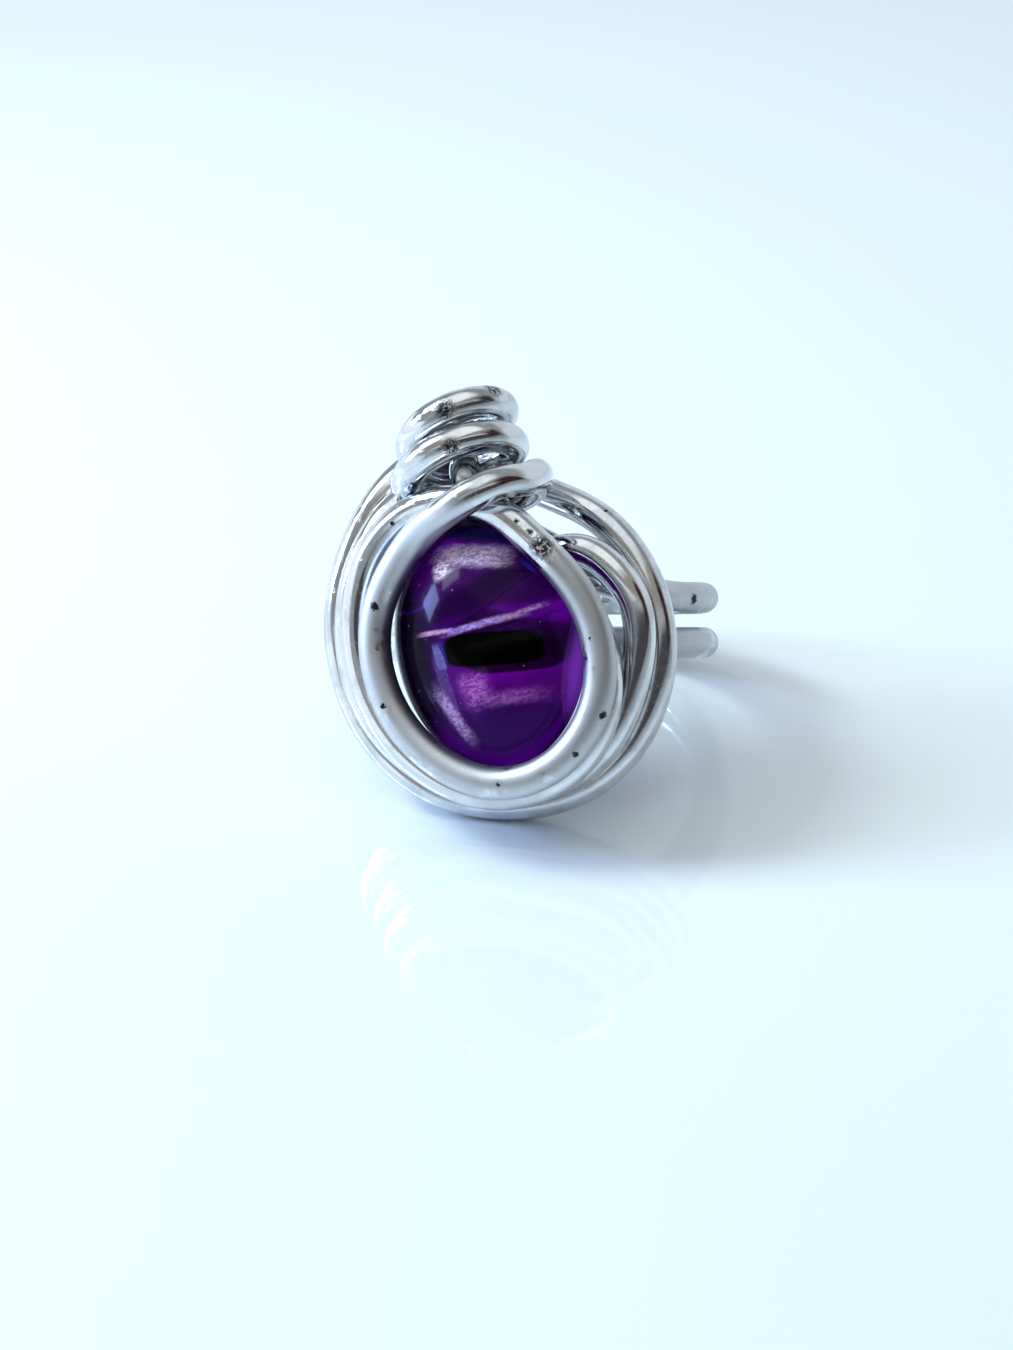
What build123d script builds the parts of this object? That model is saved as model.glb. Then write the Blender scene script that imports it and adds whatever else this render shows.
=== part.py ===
"""Hand-wrapped ring of round wire round one oval amethyst cabochon.

All lengths are in millimetres. The ring is worked out in its own frame, where the finger runs along Z,
the stone faces -Y and the nest of wire round the stone is centred on the origin, and is then laid down
in the pose in which it rests on a flat surface, leaning back on the nest and on the rear of its band.
"""
from build123d import *

import os
from math import cos, radians, sin, tan
from typing import NamedTuple

# Wire
wire_diameter = 2.05
wire_gap = 0.05
wire_pitch = wire_diameter + wire_gap

# Stone, an oval cabochon with a smooth dome and a bevelled flat back
stone_length = 16.2
stone_width = 12.4
dome_height = 4.0
girdle_edge = 0.1
back_depth = 0.9
back_inset = 1.0
stone_lean = 13.0
stone_tilt = 5.0

# Band, two strands side by side round the finger
finger_hole = 16.9
strand_gap = 0.92
strand_spacing = wire_diameter + strand_gap
band_radius = finger_hole / 2 + wire_diameter / 2
band_up = 1.18

# Nest, an oval that every strand round the stone is measured from
nest_ease = -0.05
nest_width = stone_width + 2 * nest_ease
nest_slenderness = 4 / 3
nest_height = nest_width * nest_slenderness
nest_lean = 8.0

# Coil at the top of the nest
coil_right = -2.2
coil_above_nest = 0.3
coil_flatness = 0.9
stack_lean_left = 9.5
stack_lean_back = 15.0
turn_lean = 20.0
stations_per_turn = 8

# Places of the parts in one another, in wire pitches from the nest's centre
stone_share_right = -0.21
stone_share_back = 0.76
stone_share_up = -0.02
coil_share_back = 1.0
band_share_back = 2.92

# Pose at rest: the side roll is where the ring balances, the lean follows from what touches
side_roll = 4.5
steepest_lean = 60.0
lean_steps = 24
path_samples = 400


class NestRow(NamedTuple):
    """One station of a strand in the nest; out and back are shares of the wire pitch."""

    angle: float
    out: float
    back: float


class CoilRow(NamedTuple):
    """One station of the coil; radius and rise are shares of the wire pitch."""

    turn: float
    radius: float
    rise: float


class BandRow(NamedTuple):
    """One station of the band; out is a share of the wire pitch, rise of the strand spacing."""

    angle: float
    out: float
    rise: float


class FreeRow(NamedTuple):
    """One station between the others, in wire pitches from the coil's foot or the nest's centre."""

    right: float
    back: float
    up: float


# Front loop round the stone, anticlockwise from the foot of the coil, then the second loop behind it.
# Angles are degrees from the right-hand side.
FRONT_LOOP = [
    NestRow(angle=63, out=1.06, back=0.20),
    NestRow(angle=69, out=0.77, back=-0.57),
    NestRow(angle=77, out=0.40, back=-1.06),
    NestRow(angle=90, out=0.00, back=-1.14),
    NestRow(angle=105, out=-0.14, back=-0.92),
    NestRow(angle=122, out=-0.06, back=-0.50),
    NestRow(angle=142, out=0.15, back=-0.20),
    NestRow(angle=167, out=0.53, back=0.00),
    NestRow(angle=190, out=0.60, back=0.00),
    NestRow(angle=215, out=0.47, back=0.00),
    NestRow(angle=240, out=0.33, back=0.00),
    NestRow(angle=266, out=0.34, back=0.00),
    NestRow(angle=295, out=0.46, back=0.00),
    NestRow(angle=330, out=0.57, back=0.00),
    NestRow(angle=349, out=0.43, back=0.00),
    NestRow(angle=365, out=0.22, back=-0.05),
    NestRow(angle=386, out=-0.12, back=-0.20),
    NestRow(angle=402, out=-0.28, back=-0.29),
    NestRow(angle=417, out=-0.27, back=-0.27),
    NestRow(angle=435, out=-0.12, back=-0.15),
    NestRow(angle=453, out=0.14, back=0.00),
    NestRow(angle=469, out=0.49, back=0.17),
    NestRow(angle=488, out=0.96, back=0.42),
]
SECOND_LOOP = [
    NestRow(angle=507, out=1.30, back=0.60),
    NestRow(angle=524, out=1.40, back=0.72),
    NestRow(angle=547, out=1.38, back=0.80),
    NestRow(angle=573, out=1.17, back=0.87),
    NestRow(angle=597, out=0.90, back=0.94),
    NestRow(angle=621, out=0.72, back=0.98),
    NestRow(angle=646, out=0.68, back=1.00),
    NestRow(angle=671, out=0.72, back=0.98),
    NestRow(angle=690, out=0.56, back=1.01),
    NestRow(angle=704, out=0.32, back=1.16),
    NestRow(angle=716, out=0.00, back=1.42),
    NestRow(angle=728, out=-0.28, back=1.60),
]

# Coil from its right-hand end at the front loop (turn 1) up to its tucked top end
COIL = [
    CoilRow(turn=1.00, radius=2.36, rise=-0.06),
    CoilRow(turn=1.12, radius=2.22, rise=0.28),
    CoilRow(turn=1.25, radius=2.02, rise=0.56),
    CoilRow(turn=1.50, radius=1.73, rise=0.90),
    CoilRow(turn=1.75, radius=1.66, rise=1.10),
    CoilRow(turn=2.00, radius=1.62, rise=1.30),
    CoilRow(turn=2.25, radius=1.58, rise=1.62),
    CoilRow(turn=2.50, radius=1.52, rise=1.97),
    CoilRow(turn=2.75, radius=1.44, rise=2.28),
    CoilRow(turn=3.00, radius=1.38, rise=2.52),
    CoilRow(turn=3.30, radius=1.30, rise=2.72),
]

# Core of the coil, from its top down to the band, measured from the coil's foot
CORE = [
    FreeRow(right=-0.45, back=0.80, up=2.45),
    FreeRow(right=-0.30, back=0.50, up=1.65),
    FreeRow(right=-0.10, back=0.35, up=0.85),
    FreeRow(right=0.20, back=0.50, up=0.20),
    FreeRow(right=0.63, back=0.90, up=-0.41),
    FreeRow(right=1.25, back=1.50, up=-0.91),
    FreeRow(right=1.97, back=2.08, up=-1.31),
]

# Band from where the core joins it, twice round the finger; degrees from the front towards the right
BAND_START = [
    BandRow(angle=22, out=0.00, rise=1.12),
    BandRow(angle=40, out=0.00, rise=0.74),
    BandRow(angle=62, out=0.00, rise=0.52),
]
BAND_CROSSING = [
    BandRow(angle=300, out=0.00, rise=0.46),
    BandRow(angle=325, out=0.00, rise=0.20),
    BandRow(angle=345, out=0.00, rise=-0.15),
    BandRow(angle=365, out=0.00, rise=-0.40),
    BandRow(angle=385, out=0.00, rise=-0.48),
    BandRow(angle=410, out=0.00, rise=-0.50),
]
BAND_END = [
    BandRow(angle=630, out=0.05, rise=-0.55),
    BandRow(angle=650, out=0.35, rise=-0.62),
    BandRow(angle=668, out=1.00, rise=-0.50),
    BandRow(angle=685, out=1.08, rise=-0.12),
]
upper_strand_angles = range(90, 271, 30)
lower_strand_angles = range(450, 601, 30)

# Behind the stone, from the band up to the nest, measured from the nest's centre
RISE_TO_NEST = [
    FreeRow(right=-1.10, back=2.08, up=1.15),
    FreeRow(right=0.25, back=2.05, up=2.05),
]

# Inner and outer swirl of the shank wire, clockwise, the inner one first
INNER_SWIRL = [
    NestRow(angle=405, out=-0.66, back=2.00),
    NestRow(angle=393, out=0.21, back=1.88),
    NestRow(angle=379, out=0.80, back=1.82),
    NestRow(angle=366, out=1.12, back=1.85),
    NestRow(angle=350, out=1.12, back=1.90),
    NestRow(angle=332, out=0.97, back=1.95),
    NestRow(angle=309, out=0.85, back=1.98),
    NestRow(angle=285, out=0.69, back=2.01),
    NestRow(angle=260, out=0.65, back=1.97),
    NestRow(angle=235, out=1.00, back=1.92),
    NestRow(angle=212, out=1.55, back=1.80),
    NestRow(angle=190, out=1.92, back=1.68),
    NestRow(angle=168, out=1.98, back=1.62),
    NestRow(angle=157, out=1.96, back=1.62),
    NestRow(angle=144, out=1.90, back=1.75),
    NestRow(angle=130, out=1.85, back=2.20),
    NestRow(angle=115, out=1.60, back=3.35),
    NestRow(angle=98, out=1.10, back=4.10),
]
OUTER_SWIRL = [
    NestRow(angle=80, out=0.75, back=4.10),
    NestRow(angle=63, out=0.67, back=3.75),
    NestRow(angle=40, out=0.99, back=3.20),
    NestRow(angle=16, out=1.35, back=2.95),
    NestRow(angle=-1, out=1.50, back=2.86),
    NestRow(angle=-27, out=1.46, back=2.85),
    NestRow(angle=-46, out=1.32, back=2.88),
    NestRow(angle=-70, out=1.12, back=2.92),
    NestRow(angle=-95, out=1.10, back=2.92),
    NestRow(angle=-115, out=1.37, back=2.85),
    NestRow(angle=-134, out=1.85, back=2.75),
    NestRow(angle=-159, out=2.42, back=2.64),
    NestRow(angle=-175, out=2.60, back=2.52),
    NestRow(angle=-192, out=2.68, back=2.46),
    NestRow(angle=-209, out=2.64, back=2.56),
    NestRow(angle=-224, out=2.66, back=2.80),
    NestRow(angle=-235, out=2.68, back=3.15),
    NestRow(angle=-243, out=2.66, back=3.60),
    NestRow(angle=-250, out=2.50, back=4.10),
]


def nest_point(row):
    """Point of a strand in the nest, measured outwards from the leaning oval."""
    across = (nest_width / 2 + row.out * wire_pitch) * cos(radians(row.angle))
    along = (nest_height / 2 + row.out * wire_pitch) * sin(radians(row.angle))
    lean = radians(nest_lean)
    return Vector(
        across * cos(lean) - along * sin(lean),
        row.back * wire_pitch,
        across * sin(lean) + along * cos(lean),
    )


def leaning_axis(left, back):
    """Direction that points up but leans to the left and to the back by the given angles."""
    return Vector(-tan(radians(left)), tan(radians(back)), 1).normalized()


def coil_foot():
    """Middle of the coil's lowest turn, over the top of the nest."""
    return Vector(coil_right, coil_share_back * wire_pitch, nest_height / 2 + coil_above_nest)


def coil_point(row):
    """Point of the coil; whole turns are at its right-hand side, and it climbs anticlockwise."""
    turn_axis = leaning_axis(turn_lean, turn_lean)
    rightwards = Vector(0, 1, 0).cross(turn_axis).normalized()
    backwards = turn_axis.cross(rightwards) * coil_flatness
    angle = radians(360 * row.turn)
    stacked = leaning_axis(stack_lean_left, stack_lean_back) * (row.rise * wire_pitch)
    sideways = (rightwards * cos(angle) + backwards * sin(angle)) * (row.radius * wire_pitch)
    return coil_foot() + stacked + sideways


def coil_row_at(turn):
    """Station of the coil at any turn, straight between the table's rows."""
    for below, above in zip(COIL, COIL[1:]):
        if turn <= above.turn:
            break
    share = (turn - below.turn) / (above.turn - below.turn)
    radius = below.radius + share * (above.radius - below.radius)
    return CoilRow(turn, radius, below.rise + share * (above.rise - below.rise))


def coil_points():
    """Stations from the tucked top end down to the front, evenly spaced round the turns."""
    first, last = COIL[0].turn, COIL[-1].turn
    count = round((last - first) * stations_per_turn)
    turns = [last + (first - last) * step / count for step in range(count + 1)]
    return [coil_point(coil_row_at(turn)) for turn in turns]


def band_centre():
    """Middle of the finger hole."""
    return Vector(0, band_share_back * wire_pitch + band_radius, band_up)


def band_point(row):
    """Point of the band, on the circle round the finger."""
    radius = band_radius + row.out * wire_pitch
    across = radius * sin(radians(row.angle))
    return band_centre() + Vector(across, -radius * cos(radians(row.angle)), row.rise * strand_spacing)


def free_point(row):
    """Offset given by its own three shares."""
    return Vector(row.right, row.back, row.up) * wire_pitch


def shank_points():
    """The shank wire from the coil's core, twice round the finger and twice round the nest."""
    upper = [BandRow(angle, 0.0, 0.5) for angle in upper_strand_angles]
    lower = [BandRow(angle, 0.0, -0.5) for angle in lower_strand_angles]
    band = BAND_START + upper + BAND_CROSSING + lower + BAND_END
    points = [coil_foot() + free_point(row) for row in CORE]
    points += [band_point(row) for row in band]
    points += [free_point(row) for row in RISE_TO_NEST]
    points += [nest_point(row) for row in INNER_SWIRL + OUTER_SWIRL]
    return [tuple(point) for point in points]


def setting_points():
    """The setting wire from the coil's top end, down the coil and twice round the stone."""
    points = coil_points() + [nest_point(row) for row in FRONT_LOOP + SECOND_LOOP]
    return [tuple(point) for point in points]


def rolled_and_leaned(lean_back):
    """The ring's own frame once it leans back by the given angle and has its side roll."""
    return Plane.XY.rotated((-lean_back, -side_roll, 0))


def lean_at_rest(samples):
    """Lean at which the front of the ring and the rear of its band touch the surface together."""
    front = [point for point in samples if point.Y < band_centre().Y]
    rear = [point for point in samples if point.Y >= band_centre().Y]
    low, high = 0.0, steepest_lean
    for _ in range(lean_steps):
        lean = (low + high) / 2
        frame = rolled_and_leaned(lean)
        lowest_front = min(frame.from_local_coords(point).Z for point in front)
        lowest_rear = min(frame.from_local_coords(point).Z for point in rear)
        low, high = (lean, high) if lowest_rear > lowest_front else (low, lean)
    return lean


def resting_plane(samples):
    """The ring's own frame at rest, over the middle of what it covers and with its lowest point at zero."""
    leaning = rolled_and_leaned(lean_at_rest(samples))
    laid = [leaning.from_local_coords(point) for point in samples]
    middle_x = (min(point.X for point in laid) + max(point.X for point in laid)) / 2
    middle_y = (min(point.Y for point in laid) + max(point.Y for point in laid)) / 2
    lowest = min(point.Z for point in laid) - wire_diameter / 2
    return Plane(origin=(-middle_x, -middle_y, -lowest), x_dir=leaning.x_dir, z_dir=leaning.z_dir)


# Paths of the two wires in the ring's own frame, and the pose that they give
curve_samples = [
    curve.position_at(step / path_samples)
    for curve in (Spline(*shank_points()), Spline(*setting_points()))
    for step in range(path_samples + 1)
]
ring_frame = resting_plane(curve_samples)

# Shank wire: core of the coil, band, and the two swirls behind the setting
with BuildPart() as shank_wire:
    with BuildLine(ring_frame) as shank_path:
        Spline(*shank_points())
    with BuildSketch(Plane(origin=shank_path.line @ 0, z_dir=shank_path.line % 0)):
        Circle(wire_diameter / 2)
    sweep(is_frenet=True)
shank_wire.part.label = "shank_wire"

# Setting wire: the coil, the front loop and the second loop
with BuildPart() as setting_wire:
    with BuildLine(ring_frame) as setting_path:
        Spline(*setting_points())
    with BuildSketch(Plane(origin=setting_path.line @ 0, z_dir=setting_path.line % 0)):
        Circle(wire_diameter / 2)
    sweep(is_frenet=True)
setting_wire.part.label = "setting_wire"

# Stone: a round blank turned from its profile, stretched to the oval and set into the nest
with BuildPart() as round_blank:
    with BuildSketch(Plane.XZ):
        with BuildLine():
            bevel_start = (stone_width / 2, -girdle_edge)
            back_edge = (stone_width / 2 - back_inset, -back_depth)
            dome_radius = ((stone_width / 2) ** 2 + dome_height**2) / (2 * dome_height)
            RadiusArc((stone_width / 2, 0), (0, dome_height), -dome_radius)
            Polyline((0, dome_height), (0, -back_depth), back_edge, bevel_start, (stone_width / 2, 0))
        make_face()
    revolve(axis=Axis.Z)
    scale(by=(1, stone_length / stone_width, 1))

stone_place = Vector(stone_share_right, stone_share_back, stone_share_up) * wire_pitch
stone_seat = Pos(stone_place) * Rot(Y=-stone_lean) * Rot(X=90 - stone_tilt)
with BuildPart(Plane(ring_frame.location * stone_seat)) as stone:
    add(round_blank.part)
stone.part.label = "stone"

os.makedirs("parts", exist_ok=True)
export_step(shank_wire.part, "parts/shank_wire.step")
export_step(setting_wire.part, "parts/setting_wire.step")
export_step(stone.part, "parts/stone.step")
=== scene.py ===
"""Looks for the wire-wrapped ring: two lengths of bright wire round one purple cabochon."""

import math

import bpy
import numpy as np
from bpy.props import FloatProperty, FloatVectorProperty, IntProperty, PointerProperty
from mathutils import Matrix, Vector


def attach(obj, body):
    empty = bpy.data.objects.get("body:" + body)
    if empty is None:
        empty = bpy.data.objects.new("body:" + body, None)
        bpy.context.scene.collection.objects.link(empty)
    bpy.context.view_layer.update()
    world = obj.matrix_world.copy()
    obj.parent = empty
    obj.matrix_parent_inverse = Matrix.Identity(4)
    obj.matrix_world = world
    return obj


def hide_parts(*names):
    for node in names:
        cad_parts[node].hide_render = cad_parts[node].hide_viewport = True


bl_info = {
    "name": "Wrapped Cabochon Ring",
    "version": (1, 0, 0),
    "blender": (4, 5, 0),
    "location": "View3D > Sidebar > Ring",
    "description": "Builds a ring of bright round wire wrapped round an oval purple stone",
    "category": "Object",
}

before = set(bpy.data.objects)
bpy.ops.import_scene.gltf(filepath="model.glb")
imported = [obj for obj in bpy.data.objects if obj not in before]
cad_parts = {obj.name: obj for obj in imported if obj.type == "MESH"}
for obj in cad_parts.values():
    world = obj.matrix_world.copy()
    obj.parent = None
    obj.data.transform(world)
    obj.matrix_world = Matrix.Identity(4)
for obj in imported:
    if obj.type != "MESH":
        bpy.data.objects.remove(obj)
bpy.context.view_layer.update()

MM = 1000.0  # millimetres in a metre

# Front loop round the stone, then the second loop behind it: angle in degrees from the right-hand side,
# then distance out of the nest's oval and depth behind its plane, both in wire pitches
SETTING_LOOPS = (
    (63, 1.06, 0.20), (69, 0.77, -0.57), (77, 0.40, -1.06), (90, 0.00, -1.14), (105, -0.14, -0.92),
    (122, -0.06, -0.50), (142, 0.15, -0.20), (167, 0.53, 0.00), (190, 0.60, 0.00), (215, 0.47, 0.00),
    (240, 0.33, 0.00), (266, 0.34, 0.00), (295, 0.46, 0.00), (330, 0.57, 0.00), (349, 0.43, 0.00),
    (365, 0.22, -0.05), (386, -0.12, -0.20), (402, -0.28, -0.29), (417, -0.27, -0.27), (435, -0.12, -0.15),
    (453, 0.14, 0.00), (469, 0.49, 0.17), (488, 0.96, 0.42), (507, 1.30, 0.60), (524, 1.40, 0.72),
    (547, 1.38, 0.80), (573, 1.17, 0.87), (597, 0.90, 0.94), (621, 0.72, 0.98), (646, 0.68, 1.00),
    (671, 0.72, 0.98), (690, 0.56, 1.01), (704, 0.32, 1.16), (716, 0.00, 1.42), (728, -0.28, 1.60),
)

# Coil from the front loop up to its tucked end: turn, then radius and rise in wire pitches
COIL = (
    (1.00, 2.36, -0.06), (1.12, 2.22, 0.28), (1.25, 2.02, 0.56), (1.50, 1.73, 0.90), (1.75, 1.66, 1.10),
    (2.00, 1.62, 1.30), (2.25, 1.58, 1.62), (2.50, 1.52, 1.97), (2.75, 1.44, 2.28), (3.00, 1.38, 2.52),
    (3.30, 1.30, 2.72),
)

# Core of the coil: steps right, back and up from the coil's foot, in wire pitches
CORE = (
    (-0.45, 0.80, 2.45), (-0.30, 0.50, 1.65), (-0.10, 0.35, 0.85), (0.20, 0.50, 0.20), (0.63, 0.90, -0.41),
    (1.25, 1.50, -0.91), (1.97, 2.08, -1.31),
)

# Band, twice round the finger: angle from the front towards the right, distance out in wire pitches,
# rise in strand spacings
BAND = (
    (22, 0, 1.12), (40, 0, 0.74), (62, 0, 0.52), (90, 0, 0.5), (120, 0, 0.5), (150, 0, 0.5), (180, 0, 0.5),
    (210, 0, 0.5), (240, 0, 0.5), (270, 0, 0.5), (300, 0, 0.46), (325, 0, 0.20), (345, 0, -0.15),
    (365, 0, -0.40), (385, 0, -0.48), (410, 0, -0.50), (450, 0, -0.5), (480, 0, -0.5), (510, 0, -0.5),
    (540, 0, -0.5), (570, 0, -0.5), (600, 0, -0.5), (630, 0.05, -0.55), (650, 0.35, -0.62),
    (668, 1.00, -0.50), (685, 1.08, -0.12),
)

# Behind the stone: steps right, back and up from the nest's centre, in wire pitches
RISE_TO_NEST = ((-1.10, 2.08, 1.15), (0.25, 2.05, 2.05))

# Inner and outer swirl behind the setting, with the same columns as the setting's loops
SWIRLS = (
    (405, -0.66, 2.00), (393, 0.21, 1.88), (379, 0.80, 1.82), (366, 1.12, 1.85), (350, 1.12, 1.90),
    (332, 0.97, 1.95), (309, 0.85, 1.98), (285, 0.69, 2.01), (260, 0.65, 1.97), (235, 1.00, 1.92),
    (212, 1.55, 1.80), (190, 1.92, 1.68), (168, 1.98, 1.62), (157, 1.96, 1.62), (144, 1.90, 1.75),
    (130, 1.85, 2.20), (115, 1.60, 3.35), (98, 1.10, 4.10), (80, 0.75, 4.10), (63, 0.67, 3.75),
    (40, 0.99, 3.20), (16, 1.35, 2.95), (-1, 1.50, 2.86), (-27, 1.46, 2.85), (-46, 1.32, 2.88),
    (-70, 1.12, 2.92), (-95, 1.10, 2.92), (-115, 1.37, 2.85), (-134, 1.85, 2.75), (-159, 2.42, 2.64),
    (-175, 2.60, 2.52), (-192, 2.68, 2.46), (-209, 2.64, 2.56), (-224, 2.66, 2.80), (-235, 2.68, 3.15),
    (-243, 2.66, 3.60), (-250, 2.50, 4.10),
)


def length(name, description, default, **more):
    """A size in metres for the sidebar."""
    return FloatProperty(name=name, description=description, default=default, unit="LENGTH", precision=5, **more)


def turn(name, description, degrees):
    """An angle for the sidebar, given in degrees."""
    return FloatProperty(name=name, description=description, default=math.radians(degrees), subtype="ANGLE")


def share(name, description, default, low=-10.0, high=10.0):
    """A plain number for the sidebar."""
    return FloatProperty(name=name, description=description, default=default, min=low, max=high)


def colour(name, description, default):
    """A colour for the sidebar."""
    return FloatVectorProperty(
        name=name, description=description, default=default, subtype="COLOR", size=3, min=0.0, max=1.0
    )


class RingPose(bpy.types.PropertyGroup):
    """How the ring lies on the surface."""

    lean_back: turn("Lean back", "How far the ring leans back from upright", 28.348)
    side_roll: turn("Side roll", "How far the ring rolls to its side", 4.5)
    place: FloatVectorProperty(
        name="Nest centre", description="Where the middle of the nest comes to lie", subtype="TRANSLATION",
        default=(0.001206, -0.009581, 0.013248), size=3, precision=5,
    )


class WireSizes(bpy.types.PropertyGroup):
    """Sizes of the wire and of what it is wound into."""

    diameter: length("Diameter", "Thickness of the round wire", 0.00205)
    gap: length("Gap", "Space left between touching strands", 0.00005)
    nest_width: length("Nest width", "Width of the oval round the stone", 0.0123)
    nest_height: length("Nest height", "Height of the oval round the stone", 0.0164)
    nest_lean: turn("Nest lean", "How far the oval leans to the left", 8.0)
    coil_right: length("Coil offset", "Where the coil stands over the nest", -0.0022)
    coil_above: length("Coil rise", "Height of the coil's foot over the nest", 0.0003)
    coil_flatness: share("Coil flatness", "Depth of the coil's turns over their width", 0.9)
    coil_depth: share("Coil depth", "How far back the coil stands, in wire pitches", 1.0)
    band_depth: share("Band depth", "How far back the band's front strand lies, in wire pitches", 2.92)
    finger_hole: length("Finger hole", "Width of the hole for the finger", 0.0169)
    strand_gap: length("Strand gap", "Space between the band's two strands", 0.00092)
    band_up: length("Band height", "Height of the band's middle over the nest's", 0.00118)
    stack_lean: FloatVectorProperty(
        name="Stack lean", description="How far the coil stacks to the left and back, in degrees",
        default=(9.5, 15.0), size=2,
    )
    turn_lean: FloatVectorProperty(
        name="Turn lean", description="How far each turn tips to the left and back, in degrees",
        default=(20.0, 20.0), size=2,
    )
    spacing: length("Ring spacing", "Distance between the rings of the wire's mesh", 0.00022)
    end_length: share("End length", "Length of the softened ends, in diameters", 0.12, 0.0, 1.0)
    end_narrowing: share("End narrowing", "How much narrower the very ends are", 0.14, 0.0, 1.0)
    sides: IntProperty(name="Half sides", description="The wire has four sides and twice this", default=14, min=4)


class StoneSizes(bpy.types.PropertyGroup):
    """Sizes and place of the stone."""

    width: length("Width", "Width of the oval", 0.0124)
    height: length("Length", "Length of the oval", 0.0162)
    dome: length("Dome", "Height of the dome over the girdle", 0.004)
    girdle: length("Girdle", "Height of the straight edge", 0.0001)
    back: length("Back", "Depth of the back below the dome", 0.0009)
    inset: length("Back bevel", "How far the back's bevel comes in", 0.001)
    edge: length("Edge", "Rounding of the stone's edges", 0.00006)
    around: IntProperty(name="Around", description="Segments round the stone", default=128, min=12)
    rings: IntProperty(name="Rings", description="Rings of the dome's whole sphere", default=160, min=12)
    lean: turn("Lean", "How far the stone's top leans to the left", 13.0)
    tilt: turn("Tilt", "How far the stone's top lies back", 5.0)
    place: FloatVectorProperty(
        name="Place", description="Place in the nest, in wire pitches: right, back, up",
        default=(-0.21, 0.76, -0.02), size=3,
    )


class Finish(bpy.types.PropertyGroup):
    """Colours of the metal, the stone and the surface."""

    metal: colour("Metal", "Bright bare wire", (0.73, 0.745, 0.765))
    satin: colour("Satin", "Where the wire is rubbed dull", (0.40, 0.42, 0.44))
    metal_warm: colour("Warm metal", "Where the wire is lightly tarnished", (0.60, 0.56, 0.51))
    grime: colour("Grime", "In the small pits, nicks and dark marks", (0.03, 0.025, 0.03))
    amethyst: colour("Stone", "Body colour of the stone", (0.17, 0.003, 0.29))
    amethyst_deep: colour("Deep stone", "Darker clouds in the stone", (0.09, 0.002, 0.18))
    veil: colour("Veils", "Frosty specks in the stone", (0.90, 0.74, 0.92))
    surface: colour("Surface", "The pale surface under the ring", (0.86, 0.93, 0.97))


class Light(bpy.types.PropertyGroup):
    """The light that the ring is seen in."""

    around: colour("Surroundings", "Light from all round", (0.31, 0.34, 0.365))
    strength: share("Strength", "Brightness of the light from all round", 1.0, 0.0, 5.0)
    upper_power: share("Upper box power", "Power of the upper soft box in watts", 0.42, 0.0, 20.0)
    side_power: share("Side box power", "Power of the side soft box in watts", 0.58, 0.0, 20.0)


def along_rows(rows):
    """Columns of a table."""
    return np.array(rows, dtype=float).T


def leaning_axis(degrees):
    """Direction that points up but leans to the left and to the back."""
    left, back = np.radians(degrees)
    axis = np.array([-math.tan(left), math.tan(back), 1.0])
    return axis / np.linalg.norm(axis)


def nest_line(rows, wire, pitch):
    """Stations measured outwards from the leaning oval of the nest."""
    angle, out, back = along_rows(rows)
    angle = np.radians(angle)
    across = (wire.nest_width / 2 + out * pitch) * np.cos(angle)
    along = (wire.nest_height / 2 + out * pitch) * np.sin(angle)
    lean = wire.nest_lean
    return np.stack([
        across * math.cos(lean) - along * math.sin(lean),
        back * pitch,
        across * math.sin(lean) + along * math.cos(lean),
    ], axis=1)


def coil_foot(wire, pitch):
    """Middle of the coil's lowest turn."""
    return np.array([wire.coil_right, wire.coil_depth * pitch, wire.nest_height / 2 + wire.coil_above])


def coil_line(wire, pitch, a_turn=8):
    """Stations of the coil from its tucked top end down to the front."""
    turns, radii, rises = along_rows(COIL)
    stations = np.linspace(turns[-1], turns[0], round((turns[-1] - turns[0]) * a_turn) + 1)
    radius = np.interp(stations, turns, radii)[:, None] * pitch
    rise = np.interp(stations, turns, rises)[:, None] * pitch
    axis = leaning_axis(wire.turn_lean)
    rightwards = np.cross([0.0, 1.0, 0.0], axis)
    rightwards /= np.linalg.norm(rightwards)
    backwards = np.cross(axis, rightwards) * wire.coil_flatness
    angle = 2 * np.pi * stations[:, None]
    sideways = rightwards * np.cos(angle) + backwards * np.sin(angle)
    return coil_foot(wire, pitch) + leaning_axis(wire.stack_lean) * rise + sideways * radius


def band_line(wire, pitch):
    """Stations of the band, twice round the finger."""
    angle, out, rise = along_rows(BAND)
    angle = np.radians(angle)
    band_radius = (wire.finger_hole + wire.diameter) / 2
    radius = band_radius + out * pitch
    return np.stack([
        radius * np.sin(angle),
        wire.band_depth * pitch + band_radius - radius * np.cos(angle),
        wire.band_up + rise * (wire.diameter + wire.strand_gap),
    ], axis=1)


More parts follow.
